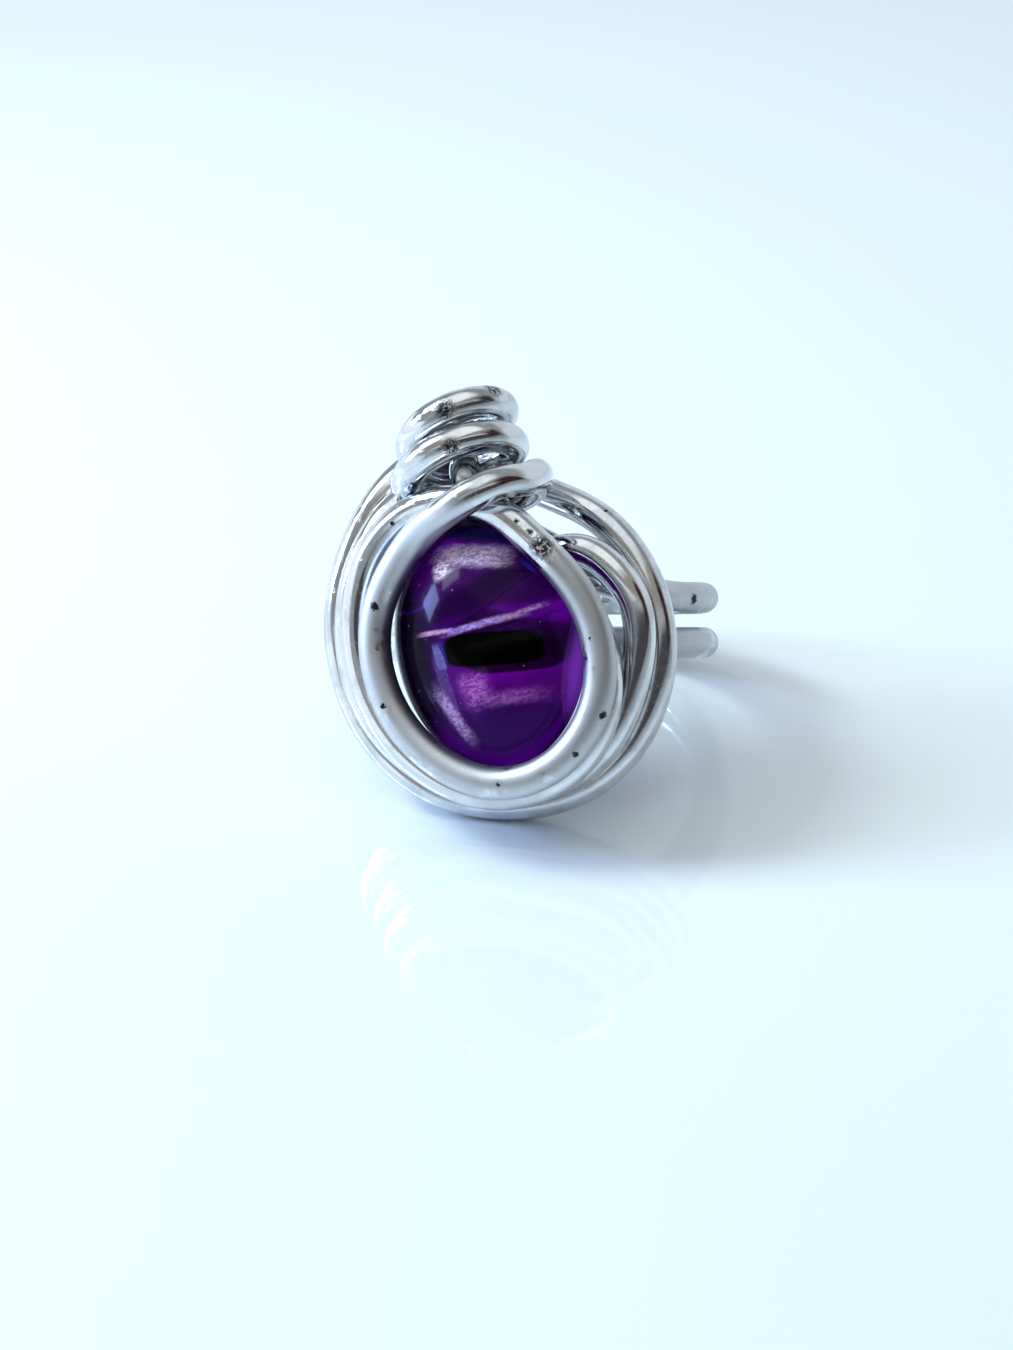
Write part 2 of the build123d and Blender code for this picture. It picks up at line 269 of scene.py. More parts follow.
def smooth_line(points, spacing):
    """Evenly spaced points of the natural cubic through the stations."""
    steps = np.linalg.norm(np.diff(points, axis=0), axis=1)
    knots = np.concatenate([[0.0], np.cumsum(steps)])
    count = len(points)
    system = np.eye(count)
    right_side = np.zeros((count, 3))
    slopes = np.diff(points, axis=0) / steps[:, None]
    for i in range(1, count - 1):
        system[i, i - 1:i + 2] = steps[i - 1], 2 * (steps[i - 1] + steps[i]), steps[i]
        right_side[i] = 6 * (slopes[i] - slopes[i - 1])
    bend = np.linalg.solve(system, right_side)

    def at(knot):
        i = np.clip(np.searchsorted(knots, knot, side="right") - 1, 0, count - 2)
        h = steps[i][:, None]
        before = (knots[i + 1] - knot)[:, None]
        after = (knot - knots[i])[:, None]
        return (
            bend[i] * before ** 3 / (6 * h) + bend[i + 1] * after ** 3 / (6 * h)
            + (points[i] / h - bend[i] * h / 6) * before + (points[i + 1] / h - bend[i + 1] * h / 6) * after
        )

    fine = at(np.linspace(0.0, knots[-1], 20 * count))
    run = np.concatenate([[0.0], np.cumsum(np.linalg.norm(np.diff(fine, axis=0), axis=1))])
    even = np.linspace(0.0, run[-1], max(8, round(run[-1] / spacing)))
    return np.stack([np.interp(even, run, fine[:, k]) for k in range(3)], axis=1), even


def ring_matrix(pose):
    """Places the ring's own frame, with the finger along Z, in its pose at rest."""
    return (
        Matrix.Translation(pose.place)
        @ Matrix.Rotation(-pose.lean_back, 4, "X")
        @ Matrix.Rotation(-pose.side_roll, 4, "Y")
    )


def stone_matrix(stone, pitch, pose):
    """Places the stone, dome along its own Z, in the nest and the nest in its pose."""
    seat = Matrix.Translation(Vector(stone.place) * pitch)
    turned = Matrix.Rotation(-stone.lean, 4, "Y") @ Matrix.Rotation(math.radians(90) - stone.tilt, 4, "X")
    return ring_matrix(pose) @ seat @ turned


def only(piece):
    """Makes one piece the selected and active one."""
    bpy.ops.object.select_all(action="DESELECT")
    piece.select_set(True)
    bpy.context.view_layer.objects.active = piece


def settle(piece):
    """Puts a piece's place into its mesh."""
    only(piece)
    bpy.ops.object.transform_apply(location=True, rotation=True, scale=True)


class Value:
    """One shader socket, so that shader maths can be written as ordinary expressions."""

    def __init__(self, shader, socket):
        self.shader = shader
        self.socket = socket

    def _maths(self, operation, *others, clamp=False):
        settings = {"operation": operation, "use_clamp": clamp}
        return self.shader.node("ShaderNodeMath", settings, dict(enumerate(others)))

    def __add__(self, other):
        return self._maths("ADD", self, other)

    def __sub__(self, other):
        return self._maths("SUBTRACT", self, other)

    def __rsub__(self, other):
        return self._maths("SUBTRACT", other, self)

    def __mul__(self, other):
        return self._maths("MULTIPLY", self, other)

    def __truediv__(self, other):
        return self._maths("DIVIDE", self, other)

    def __pow__(self, other):
        return self._maths("POWER", self, other)

    def __abs__(self):
        return self._maths("ABSOLUTE", self)

    __radd__ = __add__

    def larger(self, other):
        """The larger of two values."""
        return self._maths("MAXIMUM", self, other)

    def kept(self):
        """The value held between none and all."""
        return self._maths("ADD", self, 0.0, clamp=True)


class Shader:
    """A material's node tree, with one way to add a node."""

    def __init__(self, tree):
        self.tree = tree
        tree.nodes.clear()

    def node(self, kind, settings=None, inputs=None, output=0):
        """Adds a node, sets it, fills its sockets, and gives one of its outputs."""
        made = self.tree.nodes.new(kind)
        for name, value in (settings or {}).items():
            setattr(made, name, value)
        for name, value in (inputs or {}).items():
            if isinstance(value, Value):
                self.tree.links.new(value.socket, made.inputs[name])
            else:
                made.inputs[name].default_value = value
        return Value(self, made.outputs[output]) if len(made.outputs) else made

    def vector(self, operation, first, second, output=0):
        """Vector maths on two vectors."""
        return self.node("ShaderNodeVectorMath", {"operation": operation}, {0: first, 1: second}, output)

    def axes(self, vector):
        """The three parts of a vector."""
        parts = self.tree.nodes.new("ShaderNodeSeparateXYZ")
        self.tree.links.new(vector.socket, parts.inputs[0])
        return [Value(self, socket) for socket in parts.outputs]

    def noise(self, place, scale, detail=2.0, roughness=0.5):
        """Soft noise, from none to all."""
        inputs = {"Vector": place, "Scale": scale, "Detail": detail, "Roughness": roughness}
        return self.node("ShaderNodeTexNoise", {"noise_dimensions": "3D"}, inputs)

    def step(self, value, low, high):
        """Rises from none at low to all at high."""
        inputs = {"Value": value, "From Min": low, "From Max": high, "To Min": 0.0, "To Max": 1.0}
        return self.node("ShaderNodeMapRange", {"interpolation_type": "SMOOTHSTEP", "clamp": True}, inputs)

    def blend(self, share_of_second, first, second):
        """Goes from one colour to another."""
        made = self.tree.nodes.new("ShaderNodeMix")
        made.data_type = "RGBA"
        for index, value in ((0, share_of_second), (6, first), (7, second)):
            if isinstance(value, Value):
                self.tree.links.new(value.socket, made.inputs[index])
            elif index:
                made.inputs[index].default_value = (*value, 1.0) if len(value) == 3 else value
            else:
                made.inputs[index].default_value = value
        return Value(self, made.outputs[2])


def new_material(name):
    """A material with an empty node tree."""
    material = bpy.data.materials.new(name)
    material.use_nodes = True
    return material, Shader(material.node_tree)


# Dark marks that the wires have picked up: place on the ring at rest and reach, all in millimetres, and how
# far the mark breaks up into specks
MARKS = (
    (-5.9, -9.9, 15.0, 0.34, 0.0), (-4.9, -12.7, 9.6, 0.22, 0.0), (-5.5, -6.6, 19.1, 0.20, 0.0),
    (9.1, -12.1, 10.0, 0.34, 0.2), (7.6, -13.4, 7.9, 0.24, 0.2), (8.0, -10.3, 14.2, 0.14, 0.0),
    (2.9, -14.7, 6.0, 0.16, 0.0), (3.0, -7.5, 20.3, 0.20, 0.2), (3.9, -7.8, 19.8, 0.22, 0.2),
    (10.9, 2.8, 10.3, 0.40, 0.2), (6.4, -0.3, 17.8, 0.14, 0.0), (-2.6, -3.2, 25.5, 0.85, 0.9),
    (-1.7, -5.1, 23.9, 0.70, 0.9), (-0.3, -0.7, 25.8, 0.80, 0.9), (-4.4, -5.1, 21.1, 0.75, 0.9),
    (4.7, -8.1, 19.0, 0.95, 1.0),
)

# Where each wire is rubbed to satin by wear, in millimetres along it; the rest keeps its polish
RUBBED = {"shank_wire": (20.0, 92.0), "setting_wire": (55.0, 97.0)}


# How softly the rubbed stretch begins and ends, in millimetres
RUB_FADE = 3.0


def metal_material(finish, name, radius, rubbed):
    """Bright drawn wire: drawing lines, satin wear, fine pits, scratches, dark marks and a little tarnish."""
    material, shader = new_material(name)
    place = shader.node("ShaderNodeTexCoord", output="Object")
    place = shader.vector("MULTIPLY", place, (MM, MM, MM))
    run = shader.node("ShaderNodeAttribute", {"attribute_name": "run"}, output="Vector")
    gone = shader.axes(run)[2] * (radius * MM)
    start, end = rubbed
    begun = shader.step(gone, start - RUB_FADE, start + RUB_FADE)
    ended = shader.step(gone, end - RUB_FADE, end + RUB_FADE)
    worn = begun * (1.0 - ended)
    lines = shader.noise(shader.vector("MULTIPLY", run, (9.0, 9.0, 0.22)), 3.0, 3.0, 0.6)
    streaks = shader.noise(shader.vector("MULTIPLY", run, (2.2, 2.2, 0.16)), 1.6, 2.0)
    patches = shader.noise(place, 0.42, 3.0, 0.6)
    speckle = shader.noise(place, 16.0, 3.0, 0.75)
    blots = shader.noise(place, 5.0, 3.0, 0.7)
    grain = shader.noise(place, 48.0, 2.0, 0.7)
    satin = shader.step(patches + (speckle - 0.5) * 0.22 + worn * 0.16, 0.46, 0.62)
    cells = shader.node("ShaderNodeTexVoronoi", {"feature": "F1"}, {"Vector": place, "Scale": 4.2})
    pits = (1.0 - shader.step(cells, 0.03, 0.10)) * shader.step(shader.noise(place, 0.9, 2.0), 0.54, 0.62)
    scratch_warp = shader.noise(shader.vector("MULTIPLY", run, (1.3, 1.3, 0.75)), 1.7, 4.0, 0.62)
    scratches = 1.0 - shader.step(abs(scratch_warp - 0.5), 0.0, 0.007)
    scratches = scratches * shader.step(shader.noise(place, 1.3, 2.0), 0.5, 0.6)
    marks = None
    specks = shader.step(blots, 0.42, 0.50)
    for x, y, z, reach, broken in MARKS:
        away = shader.vector("DISTANCE", place, (x, y, z), output=1) + (blots - 0.5) * (reach * 2.2)
        mark = (1.0 - shader.step(away, reach * 0.55, reach)) * (specks * broken + (1.0 - broken))
        marks = mark if marks is None else marks.larger(mark)
    tarnish = shader.step(shader.noise(place, 0.27, 3.0, 0.55) + (streaks - 0.5) * 0.35, 0.47, 0.72)
    tint = shader.blend(tarnish * 0.40, tuple(finish.metal), tuple(finish.metal_warm))
    tint = shader.blend(satin * (speckle * 0.5 + 0.15), tint, tuple(finish.satin))
    tint = shader.blend((pits * 0.7 + marks * 0.97).kept(), tint, tuple(finish.grime))
    roughness = 0.075 + satin * (0.09 + worn * 0.30) + streaks * 0.03 + scratches * 0.12 + pits * 0.2
    height = lines * 0.10 + speckle * satin * 0.5 + grain * 0.05 - pits * 1.4 - scratches * 0.7 - marks * 3.0
    bump = shader.node("ShaderNodeBump", inputs={"Strength": 0.22, "Distance": 0.00002, "Height": height})
    surface = shader.node("ShaderNodeBsdfPrincipled", inputs={
        "Base Color": tint, "Metallic": 1.0, "Roughness": (roughness + marks * 0.3).kept(), "Normal": bump,
    })
    shader.node("ShaderNodeOutputMaterial", inputs={"Surface": surface})
    return material


# Painted shade, a painted dark reflection and painted glow in the stone's body colour: place and half sizes in
# millimetres on the stone's own oval, turn in degrees, softness and raggedness of the edge, strength and colour
STONE_PAINTED_SHADE_AND_GLOW = (
    ("left_shade", -4.6, -0.2, 1.5, 5.0, 6, 0.30, 0.30, 0.93, (0.002, 0.001, 0.010)),
    ("top_shade", 1.4, 7.1, 3.8, 1.6, -18, 0.30, 0.30, 0.95, (0.004, 0.006, 0.035)),
    ("upper_glow", 1.8, 2.3, 3.4, 1.5, -4, 0.60, 0.40, 0.60, (0.15, 0.001, 0.25)),
    ("lower_glow", 1.3, -3.1, 3.6, 1.1, -8, 0.40, 0.30, 0.80, (0.22, 0.003, 0.29)),
    ("low_shade", 1.2, -6.0, 3.6, 1.6, -12, 0.40, 0.30, 0.75, (0.07, 0.001, 0.14)),
    # A painted dark reflection that runs across the middle of the stone.
    ("middle_painted_dark_reflection", 1.20, -1.20, 3.00, 1.02, -8, 0.06, 0.06, 1.0, (0.0, 0.0, 0.0)),
)

# Painted reflections and highlights in the stone, laid on as pale frosty patches, with the same columns and,
# before the strength, how much of each patch is grain
STONE_PAINTED_REFLECTIONS = (
    # The top patches are painted reflections of a bright light. The streaks and the low patches are painted
    # highlights of the wire seen through the stone.
    ("painted_reflection_top", 0.8, 4.8, 2.2, 0.62, -14, 0.50, 0.8, 0.62, 1.0, (1.00, 0.80, 1.00)),
    ("painted_reflection_top_left", -1.0, 4.5, 0.75, 0.55, 25, 0.50, 0.9, 0.8, 1.0, (1.00, 0.78, 0.88)),
    ("streak_left", -1.9, 0.52, 1.2, 0.13, -7, 0.6, 0.6, 0.5, 0.65, (0.95, 0.50, 0.80)),
    ("streak_middle", 1.1, 0.38, 2.0, 0.19, 3, 0.6, 0.9, 0.6, 0.85, (0.70, 0.46, 1.00)),
    ("streak_right", 3.7, 0.70, 1.0, 0.15, 12, 0.6, 0.9, 0.8, 0.65, (0.95, 0.60, 0.95)),
    # The blue patches and the side band are painted reflections. The rim glow is painted light along the edge.
    ("blue_painted_reflection", -2.1, -0.95, 0.42, 0.85, 5, 0.15, 0.5, 0.3, 0.40, (0.06, 0.07, 0.50)),
    ("side_painted_reflection", -2.2, -3.1, 0.42, 2.6, 3, 0.20, 0.3, 0.4, 0.16, (0.40, 0.34, 0.80)),
    ("painted_highlight_low_left", -2.3, -4.5, 0.38, 1.5, 20, 0.60, 0.9, 0.7, 0.70, (0.80, 0.52, 0.90)),
    ("painted_highlight_low", -0.3, -3.4, 0.80, 0.85, 10, 0.60, 0.8, 0.8, 0.60, (0.85, 0.33, 0.82)),
    ("painted_highlight_low_foot", 1.2, -4.2, 1.9, 0.36, -4, 0.60, 0.9, 0.8, 0.50, (0.78, 0.32, 0.84)),
    ("rim_glow", 5.45, -3.2, 0.42, 3.0, -18, 0.80, 0.2, 0.0, 0.95, (0.54, 0.12, 1.00)),
    ("blue_glint", 4.0, 3.45, 0.55, 0.13, -52, 0.40, 0.3, 0.2, 0.60, (0.08, 0.08, 0.80)),
    ("corner_painted_reflection", -2.7, 5.8, 0.9, 0.28, 34, 0.40, 0.4, 0.3, 0.40, (0.08, 0.09, 0.50)),
)


# Power that makes the zones rounded rectangles, and the screens squarer ones
ZONE_CORNER = 4.0
SCREEN_CORNER = 6.0


def zone_mask(shader, across, along, wobble, x, y, half_x, half_y, angle, soft, ragged):
    """A rounded patch on the stone's oval, with a ragged edge."""
    cosine, sine = math.cos(math.radians(angle)), math.sin(math.radians(angle))
    right, up = across - x, along - y
    first = abs(right * (cosine / half_x) + up * (sine / half_x))
    second = abs(up * (cosine / half_y) - right * (sine / half_y))
    reach = (first ** ZONE_CORNER + second ** ZONE_CORNER) ** (1.0 / ZONE_CORNER) + (wobble - 0.5) * ragged
    return 1.0 - shader.step(reach, 1.0 - soft, 1.0 + soft)


def stone_material(finish, matrix):
    """Deep purple clear stone with painted shade and glow in its colour, painted reflections and highlights, and
    frosty specks.
    """
    material, shader = new_material("amethyst")
    place = shader.node("ShaderNodeTexCoord", output="Object")
    back = matrix.inverted()
    own = shader.node("ShaderNodeMapping", {"vector_type": "POINT"}, {
        "Vector": place, "Location": back.to_translation() * MM, "Rotation": back.to_euler("XYZ"),
        "Scale": (MM, MM, MM),
    })
    across, along, _ = shader.axes(own)
    wobble = shader.noise(own, 0.9, 4.0, 0.6)
    cloud = shader.noise(own, 0.30, 2.0)
    frost = shader.noise(shader.vector("MULTIPLY", own, (1.0, 1.7, 1.0)), 3.0, 5.0, 0.8)
    # The body colour: darker clouds at random, then the painted shade and glow laid over them.
    body = shader.blend(shader.step(cloud, 0.34, 0.66), tuple(finish.amethyst_deep), tuple(finish.amethyst))
    # Each zone lays painted shade, a painted dark reflection or painted glow into the stone's body colour.
    for name, x, y, half_x, half_y, angle, soft, ragged, strength, tint in STONE_PAINTED_SHADE_AND_GLOW:
        mask = zone_mask(shader, across, along, wobble, x, y, half_x, half_y, angle, soft, ragged)
        body = shader.blend((mask * strength).kept(), body, tint)
    # Frosty specks through the whole stone, with the painted reflections and highlights laid over them.
    cells = shader.node("ShaderNodeTexVoronoi", {"feature": "F1"}, {"Vector": own, "Scale": 1.25})
    specks_and_painted_light = (1.0 - shader.step(cells, 0.03, 0.055)) * 0.6
    specks_and_painted_light_tint = tuple(finish.veil)
    grains = shader.step(frost, 0.40, 0.60)
    for name, x, y, half_x, half_y, angle, soft, ragged, grainy, strength, tint in STONE_PAINTED_REFLECTIONS:
        mask = zone_mask(shader, across, along, wobble, x, y, half_x, half_y, angle, soft, ragged)
        specks_and_painted_light_tint = shader.blend(shader.step(mask, 0.0, 0.25), specks_and_painted_light_tint, tint)
        specks_and_painted_light = specks_and_painted_light.larger(mask * (grains * grainy + (1.0 - grainy)) * strength)
    scuffs = shader.noise(own, 9.0, 2.0, 0.6)
    bump = shader.node("ShaderNodeBump", inputs={"Strength": 0.05, "Distance": 0.00002, "Height": scuffs})
    clear = shader.node("ShaderNodeBsdfPrincipled", inputs={
        "Base Color": body, "Roughness": 0.14 + scuffs * 0.06, "Transmission Weight": 0.84, "IOR": 1.14,
        "Coat Weight": 0.12, "Coat Roughness": 0.02, "Normal": bump,
    })
    # A pale frosty surface that shows the specks and the painted reflections and highlights.
    speckled_and_painted_surface = shader.node("ShaderNodeBsdfPrincipled", inputs={
        "Base Color": specks_and_painted_light_tint, "Roughness": 0.3, "Specular IOR Level": 0.1, "Coat Weight": 0.14,
        "Coat Roughness": 0.02,
    })
    mixed = shader.node("ShaderNodeMixShader", inputs={0: specks_and_painted_light.kept(), 1: clear, 2: speckled_and_painted_surface})
    shader.node("ShaderNodeOutputMaterial", inputs={"Surface": mixed})
    return material


WELD = 0.000002  # points of the wires' mesh nearer than this are made one, in metres
NEAR_RINGS = 6  # how many rings of the wire's mesh away a point's own ring is looked for


class RING_OT_wires(bpy.types.Operator):
    """Draw both lengths of wire, wind them and give them their finish"""

    bl_idname = "ring.wires"
    bl_label = "Wind the wires"

    def execute(self, context):
        scene = context.scene
        wire, pose = scene.ring_wire, scene.ring_pose
        pitch = wire.diameter + wire.gap
        lines = {
            "shank_wire": np.concatenate([
                coil_foot(wire, pitch) + np.array(CORE) * pitch, band_line(wire, pitch),
                np.array(RISE_TO_NEST) * pitch, nest_line(SWIRLS, wire, pitch),
            ]),
            "setting_wire": np.concatenate([coil_line(wire, pitch), nest_line(SETTING_LOOPS, wire, pitch)]),
        }
        for node, stations in lines.items():
            piece = self.wound(node, stations, wire, pose)
            radius = wire.diameter / 2
            piece.data.materials.append(metal_material(scene.ring_finish, node + "_metal", radius, RUBBED[node]))
            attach(piece, "root")
            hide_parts(node)
        return {"FINISHED"}

    def wound(self, node, stations, wire, pose):
        """One length of round wire along its stations, with softened cut ends."""
        points, run = smooth_line(stations, wire.spacing)
        matrix = ring_matrix(pose)
        placed = [matrix @ Vector(point) for point in points]
        bpy.ops.object.select_all(action="DESELECT")
        bpy.ops.curve.primitive_nurbs_path_add(location=(0, 0, 0))
        piece = bpy.context.object
        piece.name = node + "_bright"
        line = piece.data
        line.dimensions = "3D"
        line.splines.clear()
        strand = line.splines.new("POLY")
        strand.points.add(len(placed) - 1)
        soft_end = wire.diameter * wire.end_length
        for point, place, at in zip(strand.points, placed, run):
            from_end = min(at, run[-1] - at)
            point.co = (*place, 1.0)
            point.radius = 1.0 - wire.end_narrowing * max(0.0, 1.0 - from_end / soft_end) ** 2
        line.bevel_depth = wire.diameter / 2
        line.bevel_resolution = wire.sides
        line.use_fill_caps = True
        only(piece)
        bpy.ops.object.convert(target="MESH")
        piece = bpy.context.object
        settle(piece)
        bpy.ops.object.mode_set(mode="EDIT")
        bpy.ops.mesh.select_all(action="SELECT")
        bpy.ops.mesh.remove_doubles(threshold=WELD)
        bpy.ops.mesh.normals_make_consistent(inside=False)
        bpy.ops.object.mode_set(mode="OBJECT")
        bpy.ops.object.shade_smooth_by_angle(angle=math.radians(50))
        self.note_run(piece, np.array(placed), run, wire.diameter / 2)
        return piece

    def note_run(self, piece, placed, run, radius):
        """Notes on each point of the wire which way round it lies and how far along it."""
        mesh = piece.data
        spots = np.empty(len(mesh.vertices) * 3)
        mesh.vertices.foreach_get("co", spots)
        spots = spots.reshape(-1, 3)
        along = np.gradient(placed, axis=0)
        along /= np.linalg.norm(along, axis=1)[:, None]
        side = np.zeros_like(along)
        start = np.cross(along[0], (0.3, 0.5, 0.8))
        side[0] = start / np.linalg.norm(start)
        for i in range(1, len(along)):
            carried = side[i - 1] - along[i] * np.dot(side[i - 1], along[i])
            side[i] = carried / np.linalg.norm(carried)
        other = np.cross(along, side)
        count = len(placed)
        expected = np.arange(len(spots)) * count // len(spots)
        nearest = expected.copy()
        lowest = np.full(len(spots), np.inf)
        for shift in range(-NEAR_RINGS, NEAR_RINGS + 1):
            trial = np.clip(expected + shift, 0, count - 1)
            gap = np.linalg.norm(spots - placed[trial], axis=1)
            better = gap < lowest
            nearest[better] = trial[better]
            lowest[better] = gap[better]
        out = spots - placed[nearest]
        note = np.stack([
            (out * side[nearest]).sum(axis=1) / radius, (out * other[nearest]).sum(axis=1) / radius,
            run[nearest] / radius,
        ], axis=1)
        mesh.attributes.new("run", "FLOAT_VECTOR", "POINT").data.foreach_set("vector", note.ravel())


# The girdle's cut takes points this near to it as on it, in metres: less than the rings' spacing
GIRDLE_CUT = 1e-7


class RING_OT_stone(bpy.types.Operator):
    """Cut the oval stone and set it in the nest"""

    bl_idname = "ring.stone"
    bl_label = "Set the stone"

    def execute(self, context):
        scene = context.scene
        stone, wire = scene.ring_stone, scene.ring_wire
        matrix = stone_matrix(stone, wire.diameter + wire.gap, scene.ring_pose)
        half = stone.width / 2
        dome_radius = (half ** 2 + stone.dome ** 2) / (2 * stone.dome)
        centre = stone.dome - dome_radius
        bpy.ops.object.select_all(action="DESELECT")
        bpy.ops.mesh.primitive_uv_sphere_add(
            segments=stone.around, ring_count=stone.rings, radius=dome_radius, location=(0, 0, centre)
        )
        piece = bpy.context.object
        piece.name = "stone_polished"
        settle(piece)
        bpy.ops.object.mode_set(mode="EDIT")
        bpy.ops.mesh.select_all(action="SELECT")
        bpy.ops.mesh.bisect(
            plane_co=(0, 0, 0), plane_no=(0, 0, 1), clear_inner=True, use_fill=True, threshold=GIRDLE_CUT
        )
        bpy.ops.object.mode_set(mode="OBJECT")
        self.pick_back(piece)
        bpy.ops.object.mode_set(mode="EDIT")
        bpy.ops.mesh.extrude_region_move(TRANSFORM_OT_translate={"value": (0, 0, -stone.girdle)})
        bpy.ops.mesh.extrude_region_move(TRANSFORM_OT_translate={"value": (0, 0, stone.girdle - stone.back)})
        narrow = 1 - stone.inset / half
        bpy.ops.transform.resize(value=(narrow, narrow, 1.0), center_override=(0, 0, 0))
        for _ in range(2):
            bpy.ops.mesh.inset(thickness=half / 4)
        bpy.ops.mesh.poke()
        bpy.ops.mesh.select_all(action="SELECT")
        bpy.ops.mesh.normals_make_consistent(inside=False)
        bpy.ops.object.mode_set(mode="OBJECT")
        piece.scale = (1.0, stone.height / stone.width, 1.0)
        settle(piece)
        bevel = piece.modifiers.new("edge", "BEVEL")
        bevel.width = stone.edge
        bevel.segments = 3
        bevel.limit_method = "ANGLE"
        bevel.angle_limit = math.radians(25)
        only(piece)
        bpy.ops.object.modifier_apply(modifier="edge")
        piece.matrix_world = matrix
        settle(piece)
        bpy.ops.object.shade_smooth_by_angle(angle=math.radians(30))
        piece.data.materials.append(stone_material(scene.ring_finish, matrix))
        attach(piece, "root")
        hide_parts("stone")
        return {"FINISHED"}

    def pick_back(self, piece):
        """Selects the flat face that closes the back."""
        corners = set()
        for face in piece.data.polygons:
            face.select = len(face.vertices) > 4 and abs(face.center.z) < 1e-6
            if face.select:
                corners.update(face.vertices)
        for edge in piece.data.edges:
            edge.select = False
        for corner in piece.data.vertices:
            corner.select = corner.index in corners
        bpy.context.tool_settings.mesh_select_mode = (False, False, True)


# Studio screens that stand round the ring and show in its metal: azimuth from the ring's front towards its
# right, elevation, half width and half height in degrees, softness of the edge, strength and colour
SURROUNDINGS = (
    ("back_screen", 160, 14, 58, 28, 0.25, 1.0, (0.62, 0.68, 0.74)),
    ("left_screen", -78, 4, 54, 15, 0.10, 1.0, (0.92, 1.00, 1.08)),
    ("upper_screen", 35, 58, 60, 15, 0.25, 1.0, (0.32, 0.31, 0.28)),
    ("light_strip", 30, 38, 52, 2.5, 0.30, 0.9, (0.80, 0.82, 0.86)),
    ("dark_screen", 38, 20, 42, 13, 0.12, 1.0, (0.080, 0.080, 0.085)),
    ("top_screen", -30, 84, 30, 26, 0.25, 1.0, (0.92, 0.98, 1.00)),
    ("dark_flag", 87, 28, 12, 19, 0.20, 0.95, (0.045, 0.014, 0.016)),
)

# A screen has faded out where the direction is nearly square to its middle: the cosine of the angle there
SIDEWAYS = 0.05

# Soft boxes: azimuth, elevation and distance, width and height of the light, all in degrees and metres
BOXES = (
    ("upper_box", -84, 49, 0.32, 0.120, 0.100, (0.86, 1.0, 1.0)),
    ("side_box", -77, 26, 0.32, 0.080, 0.090, (0.42, 0.60, 1.0)),
)


SURFACE_SIZE = 4.0  # in metres


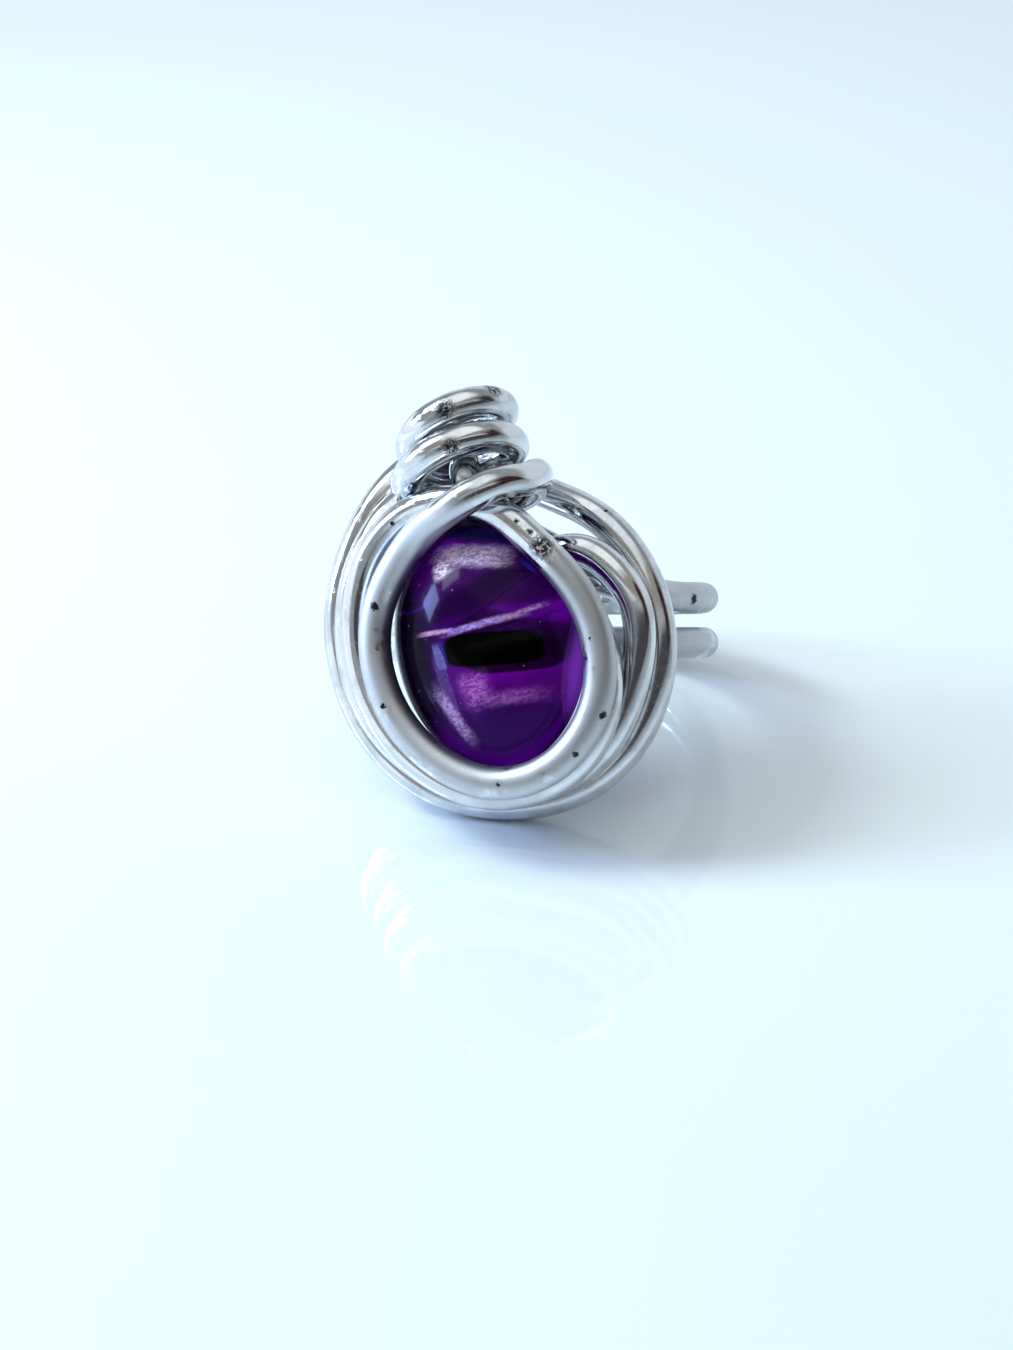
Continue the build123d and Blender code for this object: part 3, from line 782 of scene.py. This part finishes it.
class RING_OT_stage(bpy.types.Operator):
    """Lay the pale surface, set up the screens and lights and place the camera"""

    bl_idname = "ring.stage"
    bl_label = "Light and camera"

    def execute(self, context):
        scene = context.scene
        self.surface(scene)
        self.screens(scene)
        self.lights(scene)
        self.camera(scene)
        return {"FINISHED"}

    def surface(self, scene):
        """A wide glossy pale surface."""
        bpy.ops.object.select_all(action="DESELECT")
        bpy.ops.mesh.primitive_plane_add(size=SURFACE_SIZE, location=(0, 0, 0))
        surface = bpy.context.object
        surface.name = "surface"
        material, shader = new_material("pale_gloss")
        place = shader.node("ShaderNodeTexCoord", output="Object")
        soft = shader.noise(place, 9.0, 2.0)
        tint = tuple(scene.ring_finish.surface)
        mixed = shader.blend(soft * 0.25, tint, tuple(part * 0.97 for part in tint))
        fine = shader.noise(place, 900.0, 2.0)
        gloss = shader.node("ShaderNodeBsdfPrincipled", inputs={
            "Base Color": mixed, "Roughness": 0.035 + fine * 0.02, "IOR": 1.5,
        })
        shader.node("ShaderNodeOutputMaterial", inputs={"Surface": gloss})
        surface.data.materials.append(material)

    def screens(self, scene):
        """Soft light from all round, and the screens: bright at the left and overhead, dark at the right."""
        world = bpy.data.worlds.new("studio")
        scene.world = world
        world.use_nodes = True
        shader = Shader(world.node_tree)
        axes = shader.axes(shader.node("ShaderNodeTexCoord", output="Generated"))
        tone = tuple(scene.ring_light.around)
        for name, azimuth, elevation, half_wide, half_high, soft, strength, tint in SURROUNDINGS:
            mask = self.patch(axes, azimuth, elevation, half_wide, half_high, soft)
            tone = shader.blend(mask * strength, tone, tint)
        light = shader.node("ShaderNodeBackground", inputs={"Color": tone, "Strength": scene.ring_light.strength})
        shader.node("ShaderNodeOutputWorld", inputs={"Surface": light})

    @staticmethod
    def towards(azimuth, elevation):
        """Direction from the ring, from azimuth and elevation in degrees."""
        turned, raised = math.radians(azimuth), math.radians(elevation)
        return Vector((
            math.sin(turned) * math.cos(raised), -math.cos(turned) * math.cos(raised), math.sin(raised),
        ))

    def patch(self, axes, azimuth, elevation, half_wide, half_high, soft):
        """One screen, a rectangle with softened corners."""
        ahead = self.towards(azimuth, elevation)
        above = self.towards(azimuth, elevation + 90)
        beside = above.cross(ahead)
        across, away, up = axes
        forward, upwards, sideways = (
            across * way.x + away * way.y + up * way.z for way in (ahead, above, beside)
        )
        shader = forward.shader
        near = forward.larger(SIDEWAYS)
        wide = abs(sideways / near) / math.tan(math.radians(half_wide))
        high = abs(upwards / near) / math.tan(math.radians(half_high))
        reach = (wide ** SCREEN_CORNER + high ** SCREEN_CORNER) ** (1.0 / SCREEN_CORNER)
        ahead_only = shader.step(forward, SIDEWAYS, 3 * SIDEWAYS)
        return (1.0 - shader.step(reach, 1.0 - soft, 1.0 + soft)) * ahead_only

    def lights(self, scene):
        """Two soft boxes at the left, one above the other."""
        powers = {"upper_box": scene.ring_light.upper_power, "side_box": scene.ring_light.side_power}
        for name, azimuth, elevation, distance, wide, high, tint in BOXES:
            lamp = bpy.data.lights.new(name, "AREA")
            lamp.shape = "RECTANGLE"
            lamp.size, lamp.size_y = wide, high
            lamp.energy = powers[name]
            lamp.color = tint
            holder = bpy.data.objects.new(name, lamp)
            scene.collection.objects.link(holder)
            way = self.towards(azimuth, elevation)
            holder.location = way * distance
            holder.rotation_euler = way.to_track_quat("Z", "Y").to_euler()

    def camera(self, scene):
        """The viewer: turned to the right of the ring's front and level with the ring's own frame."""
        yaw = math.radians(18.5)
        distance = 0.15375
        pixels_wide, pixels_high = 1013, 1350
        pixels_to_sensor = 2512.3
        centre = (487.5, 638.0)
        right = Vector((math.cos(yaw), math.sin(yaw), 0.0))
        view = Vector((-math.sin(yaw), math.cos(yaw), 0.0))
        up = right.cross(view)
        local = Matrix((
            (right.x, up.x, -view.x, -view.x * distance),
            (right.y, up.y, -view.y, -view.y * distance),
            (right.z, up.z, -view.z, -view.z * distance),
            (0.0, 0.0, 0.0, 1.0),
        ))
        eye = bpy.data.cameras.new("viewer")
        eye.sensor_fit = "AUTO"
        eye.sensor_width = 36.0
        eye.lens = pixels_to_sensor * 36.0 / pixels_high
        eye.shift_x = (pixels_wide / 2 - centre[0]) / pixels_high
        eye.shift_y = (centre[1] - pixels_high / 2) / pixels_high
        eye.clip_start = 0.005
        holder = bpy.data.objects.new("viewer", eye)
        scene.collection.objects.link(holder)
        holder.matrix_world = ring_matrix(scene.ring_pose) @ local
        scene.camera = holder
        scene.view_settings.view_transform = "Standard"
        scene.view_settings.look = "Medium High Contrast"


class RING_PT_panel(bpy.types.Panel):
    """Lists the steps that build the ring, with their sizes"""

    bl_idname = "RING_PT_panel"
    bl_label = "Wrapped ring"
    bl_space_type = "VIEW_3D"
    bl_region_type = "UI"
    bl_category = "Ring"

    def draw(self, context):
        layout = self.layout
        for step in (RING_OT_wires, RING_OT_stone, RING_OT_stage):
            layout.operator(step.bl_idname)
        for group in (context.scene.ring_pose, context.scene.ring_wire, context.scene.ring_stone,
                      context.scene.ring_finish, context.scene.ring_light):
            box = layout.box()
            for name in group.bl_rna.properties.keys():
                if name not in {"rna_type", "name"}:
                    box.prop(group, name)


GROUPS = {"ring_pose": RingPose, "ring_wire": WireSizes, "ring_stone": StoneSizes, "ring_finish": Finish,
          "ring_light": Light}
CLASSES = (*GROUPS.values(), RING_OT_wires, RING_OT_stone, RING_OT_stage, RING_PT_panel)


def register():
    for each in CLASSES:
        bpy.utils.register_class(each)
    for name, group in GROUPS.items():
        setattr(bpy.types.Scene, name, PointerProperty(type=group))


def unregister():
    for name in GROUPS:
        delattr(bpy.types.Scene, name)
    for each in reversed(CLASSES):
        bpy.utils.unregister_class(each)


def main():
    register()
    bpy.ops.ring.wires()
    bpy.ops.ring.stone()
    bpy.ops.ring.stage()


if __name__ == "__main__":
    main()
